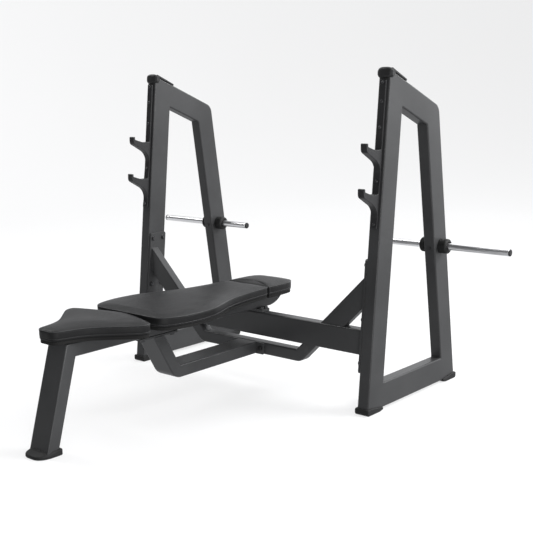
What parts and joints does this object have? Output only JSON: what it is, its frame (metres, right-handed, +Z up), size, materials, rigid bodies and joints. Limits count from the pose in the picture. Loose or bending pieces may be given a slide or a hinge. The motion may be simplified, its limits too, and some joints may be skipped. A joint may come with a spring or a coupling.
{
  "type": "olympic bench press",
  "caption": "Flat bench press with a shaped seat, back and head pad on one leg and a cross beam between leaning side frames with bar hooks and plate pegs.",
  "frame": {"origin": "on the floor, under the middle of the whole object's box", "axes": "+X to the right for someone standing at the foot end and looking at the bench, +Y towards the head end and the side frames, +Z up"},
  "size_m": [1.912, 1.7462, 1.306],
  "materials": {
    "powder_coat": "satin charcoal powder coat",
    "hook_coat": "satin black powder coat",
    "upholstery": "black vinyl over foam",
    "plywood": "black stained plywood",
    "chrome": "polished chrome plate",
    "black_rubber": "matt black rubber",
    "black_plastic": "matt black moulded plastic",
    "black_steel": "black oxide steel"
  },
  "bodies": {
    "root": {"back_board": "plywood", "back_front_strap": "powder_coat", "back_pad": "upholstery", "back_rear_strap": "powder_coat", "bench_beam": "powder_coat", "cross_beam": "powder_coat", "front_leg": "powder_coat", "front_leg_boot": "black_rubber", "head_board": "plywood", "head_pad": "upholstery", "head_strap": "powder_coat", "left_bottom_beam": "powder_coat", "left_brace": "powder_coat", "left_end_plate": "powder_coat", "left_end_plate_bolts": "black_steel", "left_front_boot": "black_rubber", "left_front_post": "powder_coat", "left_hook_column": "hook_coat", "left_hook_screws": "black_steel", "left_inner_collar": "black_rubber", "left_inner_peg_plug": "black_plastic", "left_lock_screw": "black_steel", "left_outer_collar": "black_rubber", "left_outer_peg_plug": "black_plastic", "left_peg": "chrome", "left_rear_boot": "black_rubber", "left_rear_post": "powder_coat", "left_top_beam": "powder_coat", "left_top_cap": "black_plastic", "lower_cross_tube": "powder_coat", "lower_spine": "powder_coat", "right_bottom_beam": "powder_coat", "right_brace": "powder_coat", "right_end_plate": "powder_coat", "right_end_plate_bolts": "black_steel", "right_front_boot": "black_rubber", "right_front_post": "powder_coat", "right_hook_column": "hook_coat", "right_hook_screws": "black_steel", "right_inner_collar": "black_rubber", "right_inner_peg_plug": "black_plastic", "right_lock_screw": "black_steel", "right_outer_collar": "black_rubber", "right_outer_peg_plug": "black_plastic", "right_peg": "chrome", "right_rear_boot": "black_rubber", "right_rear_post": "powder_coat", "right_top_beam": "powder_coat", "right_top_cap": "black_plastic", "saddle_plate": "powder_coat", "saddle_plate_bolts": "black_steel", "seat_board": "plywood", "seat_front_strap": "powder_coat", "seat_pad": "upholstery", "seat_rear_strap": "powder_coat", "spine_flange": "powder_coat", "spine_flange_bolts": "black_steel", "strut": "powder_coat", "strut_flange": "powder_coat", "strut_flange_bolts": "black_steel"}
  },
  "joints": []
}
